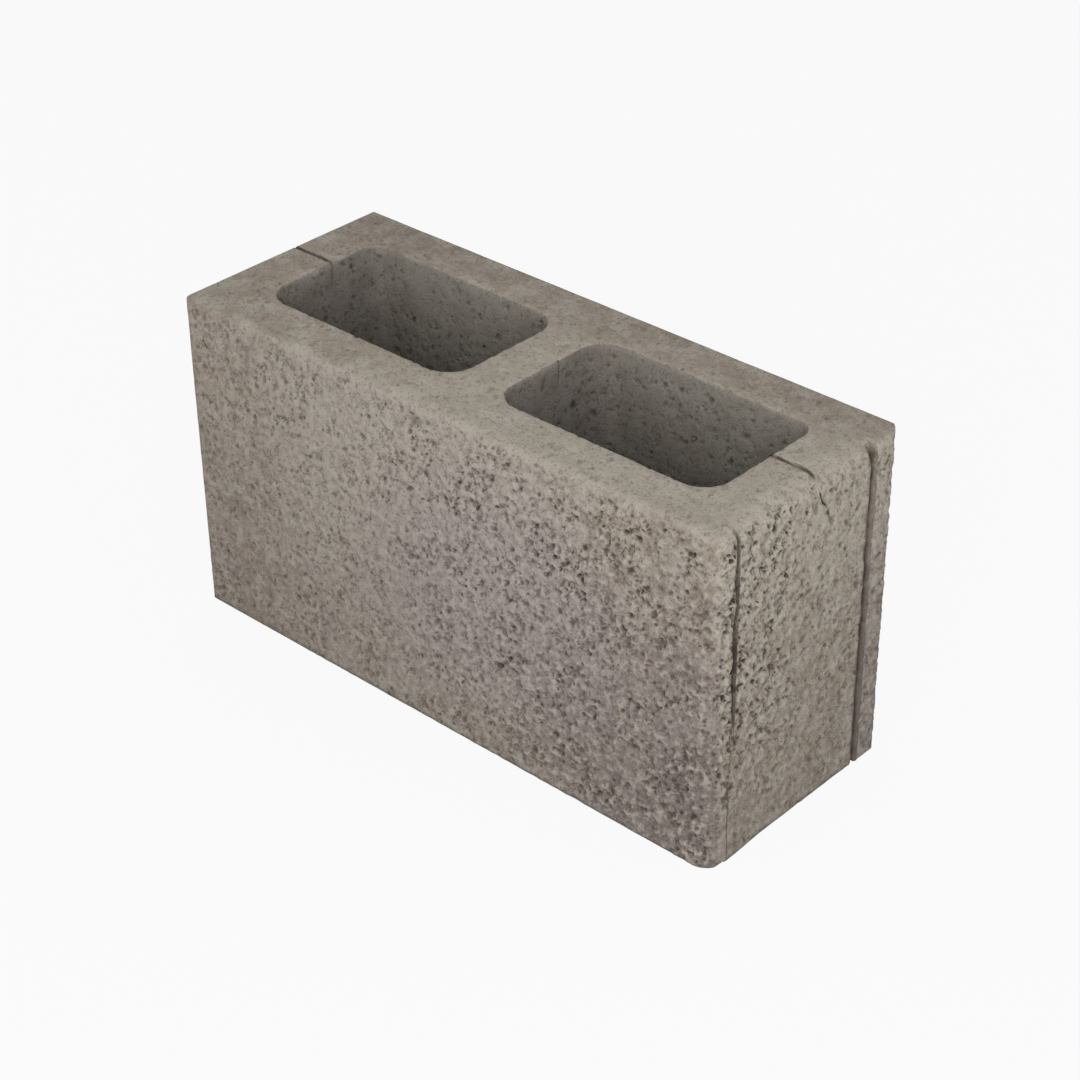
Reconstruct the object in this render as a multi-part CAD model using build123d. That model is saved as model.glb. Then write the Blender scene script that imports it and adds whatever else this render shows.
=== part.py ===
from build123d import *
import os

# Hollow concrete block with two upright cores, cast in one piece, in millimetres.
# X runs along the block, Y from its front face to its back face, and Z up.
# The origin is the middle of the bottom face.

# Overall size
length = 390.0
width = 150.0
height = 205.0

# Walls round the cores, measured across the top face
end_web = 33.0
middle_web = 30.5
face_shell = 31.5

# Cores
core_corner = 17.0        # radius of a core's upright corners at the top
core_sharp_corner = 10.0  # the same for the one corner at the back of an end web
core_draft = 0.7          # degrees that each core wall leans in towards the bottom
rim_round = 1.5           # worn edge round both mouths of a core

# Worn outer edges: the radius that each one is rounded to
plain_end_corner = 3.0    # upright edges of the left end
ribbed_end_corner = 11.0  # upright edges of the right end
top_front_edge = 6.0
top_back_edge = 2.5
top_plain_end_edge = 2.5
top_rib_edge = 7.0        # tops of the two ribs of the right end
top_recess_edge = 12.0    # top of the recess between them
bottom_edge = 2.0

# The right end: a rib up each corner, and between them a recess with a groove beside each rib
front_rib = 13.3          # width of the rib at the front corner
back_rib = 22.0           # width of the rib at the back corner
rib_stand = 1.2           # how far both ribs stand out from the recess
groove_width = 5.0
groove_depth = 5.0        # from the face of the recess
groove_floor_round = 1.6
front_groove_foot = 66.0  # height at which the front groove has run out
run_out = 40.0            # height over which it does so

# Score slots that the core bar leaves across the tops of both end webs
score_width = 2.4
score_depth = 4.0
left_score_offset = 9.6   # from the middle of the width towards the back
right_score_offset = 6.3

# How far a cutter passes beyond the surface that it opens
overshoot = 1.0

# Places and sizes that follow from the ones above
core_length = (length - 2 * end_web - middle_web) / 2
core_width = width - 2 * face_shell
core_pitch = core_length + middle_web
end_face = length / 2
recess_face = end_face - rib_stand
recess_front = -width / 2 + front_rib
recess_back = width / 2 - back_rib


def rounded_outline(plane, across, up, middle_up, radii):
    """A rectangle with a radius for each corner, from the low left one anticlockwise."""
    left, right = -across / 2, across / 2
    low, high = middle_up - up / 2, middle_up + up / 2
    corners = [(left, low), (right, low), (right, high), (left, high)]
    return plane * make_face(FilletPolyline(*corners, radius=radii, close=True))


def cast_body():
    """The block without its cores: the shape that its plan, side and end outlines share."""
    plan_radii = [plain_end_corner, ribbed_end_corner, ribbed_end_corner, plain_end_corner]
    side_radii = [bottom_edge, bottom_edge, top_rib_edge, top_plain_end_edge]
    end_radii = [bottom_edge, bottom_edge, top_back_edge, top_front_edge]
    plan = rounded_outline(Plane.XY, length, width, 0, plan_radii)
    side = rounded_outline(Plane.XZ, length, height, height / 2, side_radii)
    end = rounded_outline(Plane.YZ, width, height, height / 2, end_radii)
    upright = extrude(plan, height + overshoot, both=True)
    crosswise = extrude(side, width / 2 + overshoot, both=True)
    lengthwise = extrude(end, length / 2 + overshoot, both=True)
    return upright & crosswise & lengthwise


def core(left_back_corner, right_back_corner):
    """One core: a rounded rectangle that narrows from the top face down to the bottom face."""
    radii = [core_corner, core_corner, right_back_corner, left_back_corner]
    mouth = rounded_outline(Plane.XY.offset(height), core_length, core_width, 0, radii)
    return extrude(mouth, -height, taper=core_draft)


def hollow(body):
    """The body with both cores cut and their mouths eased at the top and bottom faces."""
    body -= Pos(-core_pitch / 2, 0, 0) * core(core_sharp_corner, core_corner)
    body -= Pos(core_pitch / 2, 0, 0) * core(core_corner, core_sharp_corner)
    faces = body.faces().sort_by(Axis.Z)
    rims = faces[0].inner_wires().edges() + faces[-1].inner_wires().edges()
    return fillet(rims, rim_round)


def end_recess():
    """What is taken away between the ribs of the right end, down to a face with a soft top edge."""
    outside = end_face + overshoot
    inside = recess_face - top_recess_edge - overshoot
    outline = FilletPolyline(
        (recess_face, -overshoot),
        (outside, -overshoot),
        (outside, height + overshoot),
        (inside, height + overshoot),
        (inside, height),
        (recess_face, height),
        radius=[0, 0, 0, 0, 0, top_recess_edge],
        close=True,
    )
    across = Plane.XZ.offset(-recess_back) * make_face(outline)
    return extrude(across, recess_back - recess_front)


def end_groove(middle_y, foot):
    """An upright groove in the recess. Its floor climbs out to the recess face at its foot."""
    outside = recess_face + overshoot
    floor = recess_face - groove_depth
    slope = run_out / groove_depth * overshoot
    profile = Polyline(
        (floor, height + overshoot),
        (floor, foot + run_out),
        (outside, foot - slope),
        (outside, height + overshoot),
        close=True,
    )
    depth = extrude(Plane.XZ * make_face(profile), width / 2, both=True)
    half = groove_width / 2
    section = FilletPolyline(
        (outside, middle_y - half),
        (floor, middle_y - half),
        (floor, middle_y + half),
        (outside, middle_y + half),
        radius=[0, groove_floor_round, groove_floor_round, 0],
        close=True,
    )
    upright = Plane.XY.offset(-overshoot) * make_face(section)
    return depth & extrude(upright, height + 2 * overshoot)


def score_slot(end, offset):
    """A thin slot across the top of one end web, from the core out through the end face."""
    reach = end_web + 2 * overshoot
    middle_x = end * (end_face + overshoot - reach / 2)
    floor = Pos(middle_x, offset, height - score_depth)
    bottom_aligned = (Align.CENTER, Align.CENTER, Align.MIN)
    return floor * Box(reach, score_width, score_depth + overshoot, align=bottom_aligned)


block = hollow(cast_body())
block -= end_recess()
block -= end_groove(recess_front + groove_width / 2, front_groove_foot)
block -= end_groove(recess_back - groove_width / 2, -run_out)
block -= score_slot(-1, left_score_offset)
block -= score_slot(1, right_score_offset)
block.label = "block"

os.makedirs("parts", exist_ok=True)
export_step(block, "parts/block.step")
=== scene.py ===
import math

import bpy
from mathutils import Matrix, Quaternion, Vector


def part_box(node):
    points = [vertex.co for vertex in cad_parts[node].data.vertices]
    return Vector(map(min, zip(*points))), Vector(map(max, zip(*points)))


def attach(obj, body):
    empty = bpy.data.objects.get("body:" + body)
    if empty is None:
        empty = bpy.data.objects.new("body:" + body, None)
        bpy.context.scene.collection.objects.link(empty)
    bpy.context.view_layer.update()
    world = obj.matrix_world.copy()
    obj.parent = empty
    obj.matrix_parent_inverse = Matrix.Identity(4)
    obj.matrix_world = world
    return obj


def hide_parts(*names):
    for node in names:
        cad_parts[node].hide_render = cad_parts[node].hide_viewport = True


# A hollow concrete block on a white studio floor.
# Lengths are in metres, or in millimetres where a name ends in _MM or _mm.

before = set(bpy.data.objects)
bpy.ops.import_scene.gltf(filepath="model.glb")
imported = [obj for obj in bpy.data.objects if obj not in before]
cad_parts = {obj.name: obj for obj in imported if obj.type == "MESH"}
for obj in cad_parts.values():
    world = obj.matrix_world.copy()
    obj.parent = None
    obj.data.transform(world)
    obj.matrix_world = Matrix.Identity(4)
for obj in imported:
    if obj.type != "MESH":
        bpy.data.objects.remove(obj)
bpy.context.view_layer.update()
block_low, block_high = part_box("block")

MM = 0.001

# The mesh of the cast surface
WELD_REACH = 0.01 * MM
OCTREE_DEPTH = 9
OCTREE_SCALE = 0.95
MOST_TRIANGLES = 192_000

# Camera, fitted to the outline of the block in the photograph
AZIMUTH = math.radians(42.89)
ELEVATION = math.radians(32.646)
ROLL = math.radians(-0.673)
DISTANCE = 1.4297
AIM = Vector((0.0057, 0.0026, 0.0890))
SENSOR_MM = 36.0
LENS_MM = 84.51

# Studio
WORLD_STRENGTH = 0.635
KEY_PLACE = (0.85, -0.95, 0.66)
KEY_SIZE = 1.0
KEY_WATTS = 10.3
FLOOR_SIZE = 6.0
FLOOR_DROP = 0.6 * MM      # below the bottom face, so that the block stands on its grains
FLOOR_COLOUR = (0.5, 0.5, 0.5)
WHITE = (1.0, 1.0, 1.0)
WHITE_SHARE = 0.92         # of what the camera sees of the floor

# Colours of the concrete, linear
PASTE = (0.345, 0.295, 0.241)
PALE_PASTE = (0.415, 0.380, 0.322)
BROWN_PASTE = (0.298, 0.248, 0.200)
PURPLE_PASTE = (0.370, 0.320, 0.301)
# Greyer paste of the cores, and darker there as painted shade
CORE_PASTE_AND_SHADE = (0.215, 0.202, 0.183)
# Paler grains, also painted highlight on the lumps and painted light on the upper right end
GRAIN_AND_HIGHLIGHT = (0.450, 0.405, 0.342)
# Painted shade of the pits, cracks, fine hollows, grooves and score slots
PIT_SHADE = (0.056, 0.042, 0.030)

# What painted shade in the dips, a broad painted shade with a faint purple cast, and a reddish cast leave of
# a colour
SHADE = (0.62, 0.62, 0.62)
PAINTED_SHADE = (0.62, 0.60, 0.62)
RUDDY = (1.0, 0.955, 1.0)

# The finish of the surface
ROUGHNESS = 0.92
SPECULAR = 0.25
BUMP_STRENGTH = 0.6

# Places on the block, from its origin in the middle of the bottom face
END_MM, SIDE_MM, TOP_MM = (far / MM for far in block_high)
MIDDLE_MM = TOP_MM / 2
CORE_END_MM = END_MM - 33.0    # the far wall of each core
CORE_SIDE_MM = SIDE_MM - 31.5  # its side walls
WEB_WALL_MM = 15.3             # the middle web's wall towards the right core
RECESS_MM = END_MM - 1.2       # the face of the right end, between its ribs
LEFT_SCORE_Y_MM = 9.6          # the middles of the score slots
RIGHT_SCORE_Y_MM = 6.3
SCORE_WIDTH_MM = 2.4
FRONT_GROOVE_Y_MM = -59.2      # the middles of the grooves of the right end
BACK_GROOVE_Y_MM = 50.5
FRONT_GROOVE_FOOT_MM = 66.0    # the height at which the front groove has run out
FRONT_GROOVE_RUN_OUT_MM = 34.0

# How far a face turns towards a direction, where a zone of it begins and where it is whole
FAINTLY = (0.1, 0.4)
PARTLY = (0.1, 0.6)
MOSTLY = (0.4, 0.8)
FULLY = (0.55, 0.85)

# Sizes of the features of each texture
PATCH_MM = 26.0
MOTTLE_MM = 14.0
CLUSTER_MM = 17.0
WOBBLE_MM = 12.0
TEXTURE_MM = 6.0
BEAD_MM = 6.0
LARGE_PIT_MM = 5.6
FINE_MM = 3.6
SMALL_PIT_MM = 3.5
WARP_MM = 2.8
GRIT_MM = 1.2

# Shifts that keep one texture from repeating another's pattern, and the reach of the warp, in millimetres
CLUSTER_SHIFT = (61, 17, 5)
FINE_SHIFT = (3, 71, 43)
LARGE_PIT_SHIFT = (13, 57, 29)
GRIT_SHIFT = (31, 7, 19)
MOTTLE_SHIFT = (91, 5, 44)
WARP_REACH = (1.5, 1.5, 1.5)

# The grains are drawn out a little along this direction, by this share
GRAIN_RUN = tuple(Vector((1.0, -1.0, 1.0)).normalized())
GRAIN_RUN_SHARE = 0.40

# Heights of the relief, out of the surface where they are above zero
CAST_MM = -0.1
PATCHES_MM = 0.4
TEXTURE_RISE_MM = 1.4
LUMP_RISE_MM = 0.6
DIP_MM = -0.5
CREVICE_MM = -1.3
CRACK_MM = -1.3
BULGE_MM = 1.5
WORN_LIP_MM = -0.3
GROOVE_WALL_MM = 0.6
BACK_GROOVE_WALL_MM = 0.45
WALL_UNREST_MM = 2.5
FILLED_FOOT_MM = 1.1
GRIT_RISE_MM = 0.35

# The slanting crack below the right score slot: its top end, and its direction across y and down z
CRACK_TOP_Y_MM = 5.5
CRACK_TOP_Z_MM = 197.0
CRACK_ACROSS = 0.480
CRACK_DOWN = 0.877
CRACK_DRIFT_MM = 5.0
WEB_CRACK_Y_MM = 8.5

# How strong the relief is on a calm face, and what a lively and a coarse face add to it
CALM_STRENGTH = 0.30
LIVELY_STRENGTH = 0.26
COARSE_STRENGTH = 0.46

# The same for the share of the cells that hold a pit
CALM_PITS = 0.42
LIVELY_PITS = 0.18
COARSE_PITS = 0.22

# A pit in its cell of one unit: its least radius, what chance adds, and the floor's share of the radius
PIT_RADIUS = 0.30
PIT_RADIUS_SPREAD = 0.32
PIT_FLOOR = 0.2
PIT_RAGGEDNESS = 0.55

# The middle of the purple stain of the front face
PURPLE_SPOT_MM = (50.0, -75.0, 85.0)


class Graph:
    """Adds nodes to a shader tree or to a geometry tree, which share their texture and maths nodes."""

    def __init__(self, tree):
        self.tree = tree

    def node(self, kind, inputs=None, **settings):
        made = self.tree.nodes.new(kind)
        for name, value in settings.items():
            setattr(made, name, value)
        for name, value in (inputs or {}).items():
            self.feed(made.inputs[name], value)
        return made

    def feed(self, socket, value):
        if isinstance(value, bpy.types.NodeSocket):
            self.tree.links.new(value, socket)
        elif socket.type == "RGBA" and len(value) == 3:
            socket.default_value = (*value, 1.0)
        else:
            socket.default_value = value

    def maths(self, operation, first, second=0.0):
        return self.node("ShaderNodeMath", {0: first, 1: second}, operation=operation).outputs[0]

    def vector_maths(self, operation, *values):
        return self.node("ShaderNodeVectorMath", dict(enumerate(values)), operation=operation)

    def add(self, *values):
        total = values[0]
        for value in values[1:]:
            total = self.maths("ADD", total, value)
        return total

    def times(self, *values):
        product = values[0]
        for value in values[1:]:
            product = self.maths("MULTIPLY", product, value)
        return product

    def less(self, first, second):
        return self.maths("SUBTRACT", first, second)

    def size(self, value):
        return self.maths("ABSOLUTE", value)

    def lower(self, first, second):
        return self.maths("MINIMUM", first, second)

    def higher(self, first, second):
        return self.maths("MAXIMUM", first, second)

    def step(self, value, start, end):
        """0 up to start, 1 from end on, and smooth between them. End may be the lower of the two."""
        inputs = {"Value": value, "From Min": start, "From Max": end}
        return self.node("ShaderNodeMapRange", inputs, interpolation_type="SMOOTHSTEP").outputs["Result"]

    def stretch(self, position, factors, shift=(0.0, 0.0, 0.0)):
        return self.vector_maths("MULTIPLY_ADD", position, factors, shift).outputs[0]

    def moved(self, position, shift):
        return self.stretch(position, (1, 1, 1), shift)

    def scaled(self, vector, factor):
        made = self.vector_maths("SCALE", vector)
        self.feed(made.inputs["Scale"], factor)
        return made.outputs[0]

    def noise(self, position, size_mm, detail, roughness):
        """Values about 0.5, with features of about size_mm. Position is in millimetres."""
        inputs = {"Vector": position, "Scale": 1.0 / size_mm, "Detail": detail, "Roughness": roughness}
        return self.node("ShaderNodeTexNoise", inputs).outputs[0]

    def ruffle(self, position, size_mm):
        """A smooth random vector, about zero, up to about a half each way."""
        inputs = {"Vector": position, "Scale": 1.0 / size_mm, "Detail": 0.0}
        colour = self.node("ShaderNodeTexNoise", inputs).outputs["Color"]
        return self.moved(colour, (-0.5, -0.5, -0.5))

    def drawn_out(self, position, run, share):
        """The position with its part along run cut by share, which draws a texture out along it."""
        part = self.vector_maths("DOT_PRODUCT", position, run).outputs["Value"]
        return self.moved(position, self.scaled(run, self.times(part, -share)))

    def cells(self, position, size_mm):
        return self.node("ShaderNodeTexVoronoi", {"Vector": position, "Scale": 1.0 / size_mm})

    def split(self, vector):
        return self.node("ShaderNodeSeparateXYZ", {0: vector}).outputs

    def channels(self, colour):
        in_shader = self.tree.type == "SHADER"
        kind = "ShaderNodeSeparateColor" if in_shader else "FunctionNodeSeparateColor"
        return self.node(kind, {0: colour}).outputs

    def blend(self, share, first, second):
        """Between two numbers."""
        return self.node("ShaderNodeMix", {0: share, 2: first, 3: second}).outputs[0]

    def tint(self, share, first, second, mode="MIX"):
        """Between two colours."""
        settings = {"data_type": "RGBA", "blend_type": mode}
        return self.node("ShaderNodeMix", {0: share, 6: first, 7: second}, **settings).outputs[2]


def node_graph(owner):
    """A graph in the emptied node tree of a material or a world."""
    owner.use_nodes = True
    owner.node_tree.nodes.clear()
    return Graph(owner.node_tree)


def added(name, data):
    """A new object of the scene."""
    thing = bpy.data.objects.new(name, data)
    bpy.context.scene.collection.objects.link(thing)
    return thing


def score_zone(g, x, y, z):
    """1 in the two score slots, above their floors."""
    from_left = g.size(g.less(y, LEFT_SCORE_Y_MM))
    from_right = g.size(g.less(y, RIGHT_SCORE_Y_MM))
    from_score = g.blend(g.maths("GREATER_THAN", x, 0.0), from_left, from_right)
    foot = g.blend(g.step(g.size(x), 170.0, 180.0), TOP_MM - 4.5, TOP_MM - 12.0)
    past_core = g.step(g.size(x), CORE_END_MM - 0.2, CORE_END_MM + 0.6)
    return g.times(
        g.step(from_score, SCORE_WIDTH_MM, SCORE_WIDTH_MM / 2),
        past_core,
        g.step(z, g.less(foot, 0.5), foot),
    )


def distance_from_grooves(g, y, z):
    """To the middle of the nearer groove of the right end. It grows where the front groove has run out."""
    ended = g.times(g.step(z, FRONT_GROOVE_FOOT_MM + FRONT_GROOVE_RUN_OUT_MM, FRONT_GROOVE_FOOT_MM), 6.0)
    from_front = g.add(g.size(g.less(y, FRONT_GROOVE_Y_MM)), ended)
    return g.lower(from_front, g.size(g.less(y, BACK_GROOVE_Y_MM)))


def distance_from_edges(g, x, y, z):
    """Below zero, to the nearest edge of the block's box: the middle one of its distances to three faces."""
    along = g.less(g.size(x), END_MM)
    across = g.less(g.size(y), SIDE_MM)
    upright = g.less(g.size(g.less(z, MIDDLE_MM)), MIDDLE_MM)
    either = g.lower(g.higher(along, across), upright)
    return g.higher(g.lower(along, across), either)


def zones(g, place, normal):
    """Where a point lies before any relief, and shares from 0 to 1 of the zones that it is in."""
    x, y, z = g.split(place)
    nx, ny, nz = g.split(normal)
    in_length = g.step(g.size(x), CORE_END_MM + 4, CORE_END_MM + 1)
    in_width = g.step(g.size(y), CORE_SIDE_MM + 3.5, CORE_SIDE_MM + 2)
    core = g.times(in_length, in_width, g.step(g.size(nz), 0.8, 0.6))
    outer = g.less(1.0, core)
    facing_end = g.times(outer, g.step(nx, *FAINTLY))
    top = g.step(nz, *FULLY)

    behind_end = g.times(g.step(x, RECESS_MM - 1, RECESS_MM - 2.3), g.step(nz, 0.3, 0.1))
    walls = g.higher(g.step(g.size(ny), *MOSTLY), g.times(behind_end, facing_end))
    off_corner = g.step(g.size(y), SIDE_MM - 11, SIDE_MM - 12.5)
    between_ribs = g.times(g.step(x, END_MM - 11, END_MM - 9), off_corner)
    from_groove = distance_from_grooves(g, y, z)
    at_face = g.step(x, RECESS_MM - 1.8, RECESS_MM - 0.8)
    lip = g.times(g.step(from_groove, 3.2, 2.4), at_face, g.step(from_groove, 0.6, 1.1))

    rib_foot = g.times(
        at_face,
        g.step(x, END_MM - 0.1, END_MM - 0.7),
        g.step(z, 70.0, 25.0),
        g.step(y, -25.0, -59.0),
        g.step(y, -62.4, -61.9),
    )
    return {
        "x": x,
        "y": y,
        "z": z,
        "top": top,
        "off_top": g.less(1.0, top),
        "facing_up": nz,
        "facing_right": g.step(nx, *MOSTLY),
        "facing_back": g.step(ny, *MOSTLY),
        "facing_end": facing_end,
        "core": core,
        "end": g.times(outer, g.step(nx, *FULLY)),
        "side": g.times(outer, g.step(g.size(ny), *FULLY), g.less(1.0, between_ribs)),
        "beside": g.times(outer, g.step(g.size(ny), *PARTLY)),
        "edge": g.step(distance_from_edges(g, x, y, z), -6.0, -2.0),
        "score": score_zone(g, x, y, z),
        "groove": g.times(walls, between_ribs),
        "from_groove": from_groove,
        "lip": lip,
        "rib_foot": rib_foot,
    }


def cracks(g, zone, drift, wobble):
    """A slanting crack below the right score slot and one in the wall of the middle web."""
    x, y, z = zone["x"], zone["y"], zone["z"]
    from_y = g.less(y, CRACK_TOP_Y_MM)
    from_z = g.less(z, CRACK_TOP_Z_MM)
    across = g.add(g.times(from_y, CRACK_DOWN), g.times(from_z, CRACK_ACROSS), drift)
    along = g.less(g.times(from_y, CRACK_ACROSS), g.times(from_z, CRACK_DOWN))
    fissure = g.times(
        g.step(g.size(across), 0.9, 0.25),
        g.step(along, 36.0, 18.0),
        g.step(along, 1.0, 4.0),
        zone["facing_end"],
        g.step(wobble, 0.34, 0.46),
    )
    at_web = g.step(g.size(g.less(x, WEB_WALL_MM)), 5.0, 3.0)
    web_wall = g.times(zone["core"], at_web, g.step(z, 193.0, 196.0))
    from_web_crack = g.size(g.add(g.less(y, WEB_CRACK_Y_MM), g.times(drift, 0.3)))
    return g.higher(fissure, g.times(web_wall, g.step(from_web_crack, 0.8, 0.3)))


def core_bulge(g, zone):
    """A swelling of the left walls of both cores below their mouths, just in front of the score."""
    x, y, z = zone["x"], zone["y"], zone["z"]
    before_score = g.times(g.step(y, LEFT_SCORE_Y_MM - 0.3, LEFT_SCORE_Y_MM - 3), g.step(y, -22.0, 4.0))
    left_wall = g.step(g.size(g.add(x, CORE_END_MM)), 6.0, 4.0)
    web_wall = g.step(g.size(g.less(x, WEB_WALL_MM)), 6.0, 4.0)
    return g.times(zone["core"], before_score, g.higher(left_wall, web_wall), g.step(z, 184.0, 202.0))


def cast_marks(g, zone, wobble):
    """Marks that the mould and handling left. Returns their height in millimetres and the cracks, 0 to 1."""
    unrest = g.less(wobble, 0.5)
    crack = cracks(g, zone, g.times(unrest, CRACK_DRIFT_MM), wobble)
    back_wall = g.times(zone["facing_back"], g.step(zone["y"], 0.0, 10.0), BACK_GROOVE_WALL_MM)
    height = g.add(
        g.times(core_bulge(g, zone), BULGE_MM),
        g.times(crack, CRACK_MM),
        g.times(zone["groove"], g.add(GROOVE_WALL_MM, back_wall, g.times(unrest, WALL_UNREST_MM))),
        g.times(zone["lip"], zone["facing_end"], WORN_LIP_MM),
        g.times(zone["rib_foot"], zone["facing_end"], FILLED_FOOT_MM),
    )
    return height, crack


def coarseness(g, zone, patches):
    """How open the surface is, 0 to 1: most at the right of the sides and at the front of the end."""
    right = g.step(zone["x"], -100.0, 100.0)
    high = g.step(zone["z"], 120.0, 165.0)
    side = g.times(zone["side"], right, g.blend(high, 0.75, 1.0))
    front = g.step(g.size(g.add(zone["y"], 45.0)), 46.0, 14.0)
    end = g.times(zone["end"], g.add(0.3, g.times(front, 1.35)), g.step(zone["z"], 15.0, 90.0))
    return g.times(g.higher(side, end), g.blend(g.step(patches, 0.35, 0.6), 0.55, 1.0))


def pits(g, place, size_mm, chance, ragged):
    """Hollows of mixed sizes and depths in a share of the cells. Returns their depth, 0 to 1."""
    cell = g.cells(place, size_mm)
    random = g.channels(cell.outputs["Color"])
    radius = g.add(PIT_RADIUS, g.times(random[1], PIT_RADIUS_SPREAD))
    depth = g.step(g.add(cell.outputs["Distance"], ragged), radius, g.times(radius, PIT_FLOOR))
    held = g.maths("LESS_THAN", random[0], chance)
    return g.times(depth, held, g.add(0.5, g.times(random[2], 0.5)))


def relief(g, place, normal):
    """The cast surface: its height in millimetres, and masks. It is the same for shape and for colour."""
    zone = zones(g, place, normal)
    patches = g.noise(place, PATCH_MM, 1.0, 0.6)
    wobble = g.noise(place, WOBBLE_MM, 0.0, 0.5)
    marks, crack = cast_marks(g, zone, wobble)
    coarse = coarseness(g, zone, patches)
    calm = g.higher(zone["top"], g.times(zone["core"], 0.6))
    lively = g.less(1.0, calm)
    strength = g.add(CALM_STRENGTH, g.times(lively, LIVELY_STRENGTH), g.times(coarse, COARSE_STRENGTH))

    drawn = g.drawn_out(place, GRAIN_RUN, GRAIN_RUN_SHARE)
    texture = g.noise(drawn, TEXTURE_MM, 2.0, 0.6)
    fine = g.noise(g.moved(drawn, FINE_SHIFT), FINE_MM, 2.0, 0.55)
    clusters = g.step(g.noise(g.moved(place, CLUSTER_SHIFT), CLUSTER_MM, 0.0, 0.5), 0.34, 0.62)

    openness = g.add(CALM_PITS, g.times(lively, LIVELY_PITS), g.times(coarse, COARSE_PITS))
    chance = g.times(openness, g.add(0.6, g.times(clusters, 0.8)))
    dips = g.step(texture, 0.62, 0.38)
    small_chance = g.times(chance, g.add(0.65, g.times(dips, 0.45)))
    large_chance = g.times(chance, g.add(0.1, g.times(dips, 0.4)))
    ragged = g.times(g.less(fine, 0.5), PIT_RAGGEDNESS)
    warped = g.stretch(g.ruffle(drawn, WARP_MM), WARP_REACH, drawn)
    small = pits(g, warped, SMALL_PIT_MM, small_chance, ragged)
    large = pits(g, g.moved(warped, LARGE_PIT_SHIFT), LARGE_PIT_MM, large_chance, ragged)

    gap_share = g.add(0.2, g.times(clusters, 0.3))
    from_contour = g.size(g.less(texture, 0.5))
    gaps = g.times(g.step(from_contour, 0.04, 0.01), g.step(fine, 0.54, 0.42), gap_share, lively)
    in_core = g.times(zone["core"], 0.35)
    crevice = g.higher(g.higher(g.times(small, g.less(1.0, in_core)), large), gaps)
    darkest = g.times(strength, g.add(0.95, g.times(clusters, 0.25)))
    crevice = g.times(crevice, g.add(darkest, in_core))
    dip = g.times(g.step(fine, 0.52, 0.30), strength)
    outer = g.less(1.0, zone["core"])
    lump_and_highlight = g.times(g.step(fine, 0.48, 0.72), g.less(1.0, small), strength, outer)

    cast = g.add(
        g.times(g.less(patches, 0.5), PATCHES_MM),
        g.times(crevice, CREVICE_MM),
        g.times(dip, DIP_MM),
        g.times(lump_and_highlight, LUMP_RISE_MM),
        g.times(g.less(texture, 0.5), TEXTURE_RISE_MM, strength),
        CAST_MM,
    )
    rough = g.less(1.0, g.higher(zone["score"], zone["groove"]))
    below_top = g.times(lively, g.step(zone["z"], 197.0, 203.0))
    rough = g.times(rough, g.blend(below_top, 1.0, 0.35))
    return {
        "zone": zone,
        "patches": patches,
        # the painted shade of the pits and the cracks, for the colour
        "pit_shade": g.higher(g.times(crevice, rough), crack),
        "lump_and_highlight": g.times(lump_and_highlight, rough),
        "dip": g.times(dip, rough),
        "grit": g.noise(g.moved(place, GRIT_SHIFT), GRIT_MM, 1.0, 0.5),
        "height": g.add(g.times(cast, rough, g.less(1.0, g.times(zone["edge"], 0.8))), marks),
    }


def relief_modifier(thing):
    """Keeps each point's first place and normal as attributes, and then moves it by the relief."""
    tree = bpy.data.node_groups.new("cast_relief", "GeometryNodeTree")
    tree.interface.new_socket("Geometry", in_out="INPUT", socket_type="NodeSocketGeometry")
    tree.interface.new_socket("Geometry", in_out="OUTPUT", socket_type="NodeSocketGeometry")
    g = Graph(tree)
    shape = g.node("NodeGroupInput").outputs[0]
    place = g.node("GeometryNodeInputPosition").outputs[0]
    normal = g.node("GeometryNodeInputNormal").outputs[0]
    vectors = {"data_type": "FLOAT_VECTOR"}
    for name, value in (("rest_place", place), ("rest_normal", normal)):
        inputs = {"Geometry": shape, "Name": name, "Value": value}
        kept = g.node("GeometryNodeStoreNamedAttribute", inputs, domain="POINT", **vectors)
        shape = kept.outputs[0]
    rest_place = g.node("GeometryNodeInputNamedAttribute", {"Name": "rest_place"}, **vectors).outputs[0]
    rest_normal = g.node("GeometryNodeInputNamedAttribute", {"Name": "rest_normal"}, **vectors).outputs[0]
    place_mm = g.stretch(rest_place, (1 / MM, 1 / MM, 1 / MM))
    height = relief(g, place_mm, rest_normal)["height"]
    move = g.scaled(rest_normal, g.times(height, MM))
    moved = g.node("GeometryNodeSetPosition", {"Geometry": shape, "Offset": move})
    g.feed(g.node("NodeGroupOutput").inputs[0], moved.outputs[0])
    thing.modifiers.new("relief", "NODES").node_group = tree


def apply_modifiers(thing):
    """Puts the result of the object's modifiers in the place of its mesh."""
    graph = bpy.context.evaluated_depsgraph_get()
    found = thing.evaluated_get(graph)
    shape = bpy.data.meshes.new_from_object(found, preserve_all_data_layers=True, depsgraph=graph)
    thing.modifiers.clear()
    thing.data = shape


def triangles_of(shape):
    return sum(len(face.vertices) - 2 for face in shape.polygons)


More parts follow.
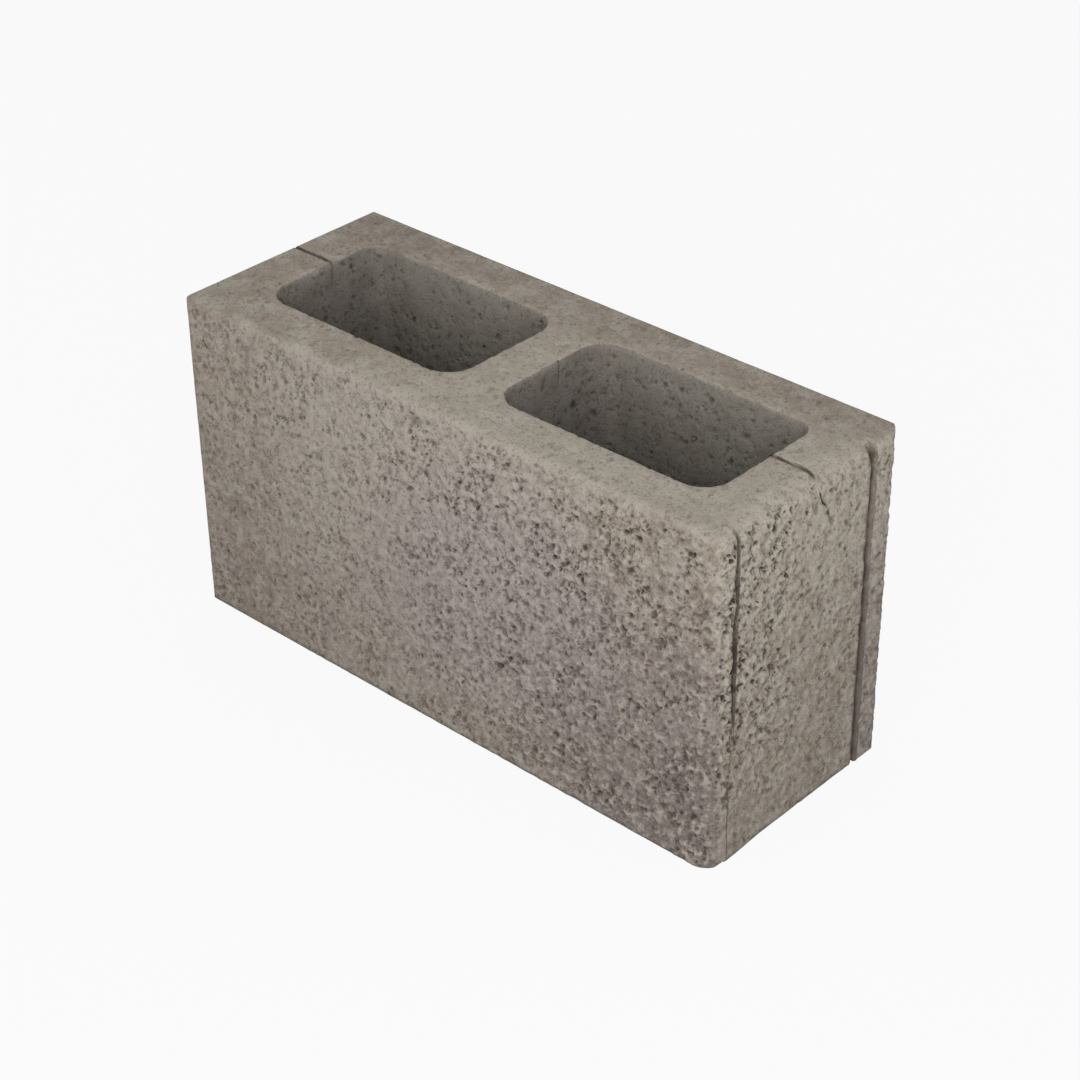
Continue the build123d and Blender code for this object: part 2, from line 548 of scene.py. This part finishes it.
def cast_block():
    """The block as cast: the solid's own shape in fine even facets, moved by the relief, then thinned out."""
    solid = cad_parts["block"]
    thing = added("cast_block", solid.data.copy())
    thing.matrix_world = solid.matrix_world
    weld = thing.modifiers.new("weld", "WELD")
    weld.merge_threshold = WELD_REACH
    even = thing.modifiers.new("even", "REMESH")
    even.mode = "SHARP"
    even.octree_depth = OCTREE_DEPTH
    even.scale = OCTREE_SCALE
    even.use_remove_disconnected = False
    onto = thing.modifiers.new("onto_solid", "SHRINKWRAP")
    onto.target = solid
    relief_modifier(thing)
    apply_modifiers(thing)
    found = triangles_of(thing.data)
    thin = thing.modifiers.new("thin", "DECIMATE")
    thin.ratio = min(1.0, MOST_TRIANGLES / found)
    apply_modifiers(thing)
    shape = thing.data
    shape.polygons.foreach_set("use_smooth", [True] * len(shape.polygons))
    print("triangles", found, "thinned to", triangles_of(shape))
    return thing


def soft_patch(g, face, share, *fades):
    """A soft patch of a face. Each fade is a value, where the patch begins in it and where it is whole."""
    return g.times(face, *(g.step(*fade) for fade in fades), share)


def paste(g, zone, patches, place_mm):
    """The colour of the paste: pale and brown mottling, and greyer in the cores, where it is also darker as
    painted shade.
    """
    mottle = g.noise(g.moved(place_mm, MOTTLE_SHIFT), MOTTLE_MM, 4.0, 0.68)
    colour = g.tint(g.step(mottle, 0.42, 0.62), PASTE, PALE_PASTE)
    colour = g.tint(g.times(g.step(patches, 0.5, 0.64), 0.5), colour, BROWN_PASTE)
    # Greyer in the cores, and darker there as painted shade
    return g.tint(g.times(zone["core"], 0.6), colour, CORE_PASTE_AND_SHADE)


def stains_and_painted_light(g, zone, place_mm, colour):
    """The colour with the broad patches of the faces: paler in the middle of the sides, painted light on the
    right of the top and on the upper part of the right end, purple stains, broad painted shade and a ruddy
    cast.
    """
    x, y, z = zone["x"], zone["y"], zone["z"]
    top, side, end, beside = zone["top"], zone["side"], zone["end"], zone["beside"]

    middle = (g.size(g.add(x, 15.0)), 150.0, 70.0)
    pale_middle = soft_patch(g, side, 0.8, middle, (z, -60.0, 120.0))
    painted_light_top_right = soft_patch(g, top, 0.5, (x, -100.0, 40.0), (y, 60.0, 20.0))
    # Paler in the middle of the sides, and painted light on the right of the top
    colour = g.tint(g.add(pale_middle, painted_light_top_right), colour, PALE_PASTE)

    from_spot = g.vector_maths("DISTANCE", place_mm, PURPLE_SPOT_MM).outputs["Value"]
    spot = g.times(g.step(from_spot, 130.0, 60.0), g.step(z, 0.0, 75.0), 0.8)
    low_corner = g.times(g.step(x, 60.0, 130.0), g.step(z, 170.0, 110.0), 0.4)
    rib = soft_patch(g, end, 0.5, (y, 52.0, 54.0), (z, 180.0, 60.0))
    purple = g.add(g.times(g.higher(spot, low_corner), beside), rib)
    colour = g.tint(purple, colour, PURPLE_PASTE)
    # Painted light on the upper part of the right end
    colour = g.tint(soft_patch(g, end, 0.7, (z, 110.0, 178.0)), colour, GRAIN_AND_HIGHLIGHT)

    # Painted shade: darker towards the bottom, on the right of the front and at its right corner, on the back
    # and the left of the top, and on the core walls that face right
    painted_shade = g.add(
        soft_patch(g, zone["off_top"], 0.45, (z, 180.0, 10.0)),
        soft_patch(g, side, 0.06, (x, -100.0, -150.0)),
        soft_patch(g, beside, 0.35, (x, 30.0, 130.0), (z, 150.0, 70.0)),
        soft_patch(g, side, 0.2, (x, 60.0, 130.0), (g.size(g.less(z, 145.0)), 45.0, 20.0)),
        soft_patch(g, beside, 0.22, (x, 135.0, 165.0), (z, 205.0, 140.0)),
        g.times(zone["core"], zone["facing_right"], 0.45),
        soft_patch(g, top, 0.4, (y, 20.0, 62.0)),
        soft_patch(g, top, 0.25, (x, -60.0, -185.0)),
    )
    colour = g.tint(painted_shade, colour, PAINTED_SHADE, "MULTIPLY")
    return g.tint(g.times(side, 0.4), colour, RUDDY, "MULTIPLY")


def painted_hollow_shade(g, zone, place_mm):
    """How much painted shade darkens the grooves of the right end and the score slots, 0 to 1."""
    beads = g.noise(place_mm, BEAD_MM, 1.0, 0.5)
    beaded = g.blend(g.step(zone["y"], -20.0, 0.0), 0.4, 0.25)
    groove = g.times(zone["groove"], g.add(0.56, g.times(g.step(beads, 0.58, 0.38), beaded)))
    far_lip = g.times(g.step(zone["x"], RECESS_MM - 1.6, RECESS_MM), g.step(zone["y"], 0.0, 10.0), 0.35)
    groove = g.times(groove, g.less(1.0, far_lip))
    from_lip = g.add(zone["from_groove"], g.times(g.less(beads, 0.5), 5.0))
    lip = g.times(g.step(from_lip, 3.1, 2.1), zone["facing_end"], 0.3)
    groove = g.times(g.higher(groove, lip), g.step(zone["z"], TOP_MM + 1, TOP_MM - 9))

    score_wall = g.blend(g.step(g.size(zone["facing_up"]), 0.9, 0.6), 0.6, 1.0)
    off_end = g.step(zone["x"], END_MM - 5, END_MM - 7.5)
    off_core = g.step(g.size(zone["x"]), CORE_END_MM + 0.5, CORE_END_MM + 4.5)
    score = g.times(zone["score"], score_wall, off_end, off_core)
    return g.higher(groove, g.times(score, 0.8))


def concrete():
    """Open-textured concrete: mottled and stained paste, painted shade in the hollows, pits and dips and over
    broad parts of the faces, painted light on parts of the faces, and paler grains on the lumps, partly
    painted highlight.
    """
    made = bpy.data.materials.new("concrete")
    g = node_graph(made)
    place = g.node("ShaderNodeAttribute", attribute_name="rest_place").outputs["Vector"]
    normal = g.node("ShaderNodeAttribute", attribute_name="rest_normal").outputs["Vector"]
    place_mm = g.stretch(place, (1 / MM, 1 / MM, 1 / MM))
    cast = relief(g, place_mm, normal)
    zone = cast["zone"]

    colour = paste(g, zone, cast["patches"], place_mm)
    colour = stains_and_painted_light(g, zone, place_mm, colour)
    # Painted shade in the grooves and the score slots
    colour = g.tint(painted_hollow_shade(g, zone, place_mm), colour, PIT_SHADE)
    # Painted shade in the fine hollows of the grit
    colour = g.tint(g.times(g.step(cast["grit"], 0.48, 0.28), 0.4), colour, PIT_SHADE)
    colour = g.tint(g.times(cast["dip"], 0.6), colour, SHADE, "MULTIPLY")
    # Paler grains on the lumps, partly painted highlight
    colour = g.tint(g.times(cast["lump_and_highlight"], 0.85), colour, GRAIN_AND_HIGHLIGHT)
    # Painted shade in the pits and the cracks
    colour = g.tint(cast["pit_shade"], colour, PIT_SHADE)

    height = g.times(g.add(cast["height"], g.times(cast["grit"], GRIT_RISE_MM)), MM)
    bump = g.node("ShaderNodeBump", {"Height": height, "Strength": BUMP_STRENGTH, "Distance": 1.0})
    inputs = {
        "Base Color": colour,
        "Normal": bump.outputs[0],
        "Roughness": ROUGHNESS,
        "Specular IOR Level": SPECULAR,
    }
    surface = g.node("ShaderNodeBsdfPrincipled", inputs)
    g.feed(g.node("ShaderNodeOutputMaterial").inputs["Surface"], surface.outputs[0])
    return made


def background_seen(g):
    """1 for the rays that show the background, as seen, mirrored or through something clear."""
    path = g.node("ShaderNodeLightPath").outputs
    direct = g.higher(path["Is Camera Ray"], path["Is Glossy Ray"])
    return g.higher(direct, path["Is Transmission Ray"])


def studio_floor():
    """A pale floor, which the camera sees as nearly white with the block's soft shadow."""
    half = FLOOR_SIZE / 2
    shape = bpy.data.meshes.new("studio_floor")
    corners = [(-half, -half, 0), (half, -half, 0), (half, half, 0), (-half, half, 0)]
    shape.from_pydata(corners, [], [(0, 1, 2, 3)])
    floor = added("studio_floor", shape)
    floor.location.z = block_low[2] - FLOOR_DROP
    made = bpy.data.materials.new("studio_floor")
    g = node_graph(made)
    share = g.times(background_seen(g), WHITE_SHARE)
    plain = g.node("ShaderNodeBsdfDiffuse", {"Color": FLOOR_COLOUR})
    white = g.node("ShaderNodeEmission", {"Color": WHITE, "Strength": 1.0})
    surface = g.node("ShaderNodeMixShader", {0: share, 1: plain.outputs[0], 2: white.outputs[0]})
    g.feed(g.node("ShaderNodeOutputMaterial").inputs["Surface"], surface.outputs[0])
    shape.materials.append(made)


def studio_world():
    """An even white surround. The camera sees it as plain white."""
    world = bpy.data.worlds.new("studio")
    bpy.context.scene.world = world
    g = node_graph(world)
    strength = g.blend(background_seen(g), WORLD_STRENGTH, 1.0)
    surround = g.node("ShaderNodeBackground", {"Color": WHITE, "Strength": strength})
    g.feed(g.node("ShaderNodeOutputWorld").inputs["Surface"], surround.outputs[0])


def softbox(name, place, size, watts):
    """A square lamp that faces the block."""
    lamp = bpy.data.lights.new(name, "AREA")
    lamp.shape = "SQUARE"
    lamp.size = size
    lamp.energy = watts
    holder = added(name, lamp)
    holder.location = place
    holder.rotation_mode = "QUATERNION"
    holder.rotation_quaternion = (Vector(place) - AIM).to_track_quat("Z", "Y")


def camera():
    """The photograph's camera."""
    back = Vector((math.sin(AZIMUTH), -math.cos(AZIMUTH), math.tan(ELEVATION))).normalized()
    lens = bpy.data.cameras.new("camera")
    lens.sensor_width = SENSOR_MM
    lens.lens = LENS_MM
    holder = added("camera", lens)
    holder.location = AIM + back * DISTANCE
    holder.rotation_mode = "QUATERNION"
    holder.rotation_quaternion = back.to_track_quat("Z", "Y") @ Quaternion((0, 0, 1), ROLL)
    bpy.context.scene.camera = holder


piece = cast_block()
piece.data.materials.clear()
piece.data.materials.append(concrete())
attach(piece, "root")
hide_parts("block")

studio_floor()
studio_world()
softbox("key", KEY_PLACE, KEY_SIZE, KEY_WATTS)
camera()
bpy.context.scene.view_settings.view_transform = "Standard"
